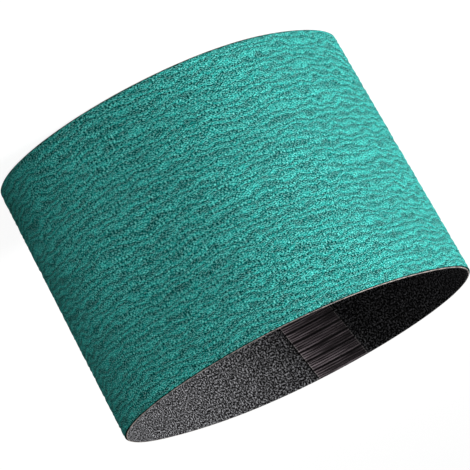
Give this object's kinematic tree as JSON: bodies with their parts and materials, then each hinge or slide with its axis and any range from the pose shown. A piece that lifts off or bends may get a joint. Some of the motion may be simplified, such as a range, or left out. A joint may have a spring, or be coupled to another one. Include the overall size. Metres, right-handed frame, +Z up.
{
  "type": "sanding sleeve",
  "caption": "Short endless abrasive sleeve for an expanding drum, teal grain outside, charcoal cloth inside, ends joined on the skew by a yarn tape.",
  "frame": {"origin": "centre of the sleeve's box at its bottom edge, on the axis of the oval, where it stands on a surface", "axes": "+Z up along the sleeve's axis, +Y towards the taped joint at half height, +X to the right seen from the side opposite the joint"},
  "size_m": [0.121, 0.1386, 0.0889],
  "materials": {
    "charcoal_cloth": "matt woven cloth with a dark filled back",
    "teal_abrasive": "rough teal grain set in resin, in shallow wandering ripples along the belt",
    "dark_splice_tape": "thin dark film over fine parallel yarns, with a soft sheen"
  },
  "bodies": {
    "root": {"backing_cloth": "charcoal_cloth", "abrasive_coat": "teal_abrasive", "splice_tape": "dark_splice_tape"}
  },
  "joints": []
}
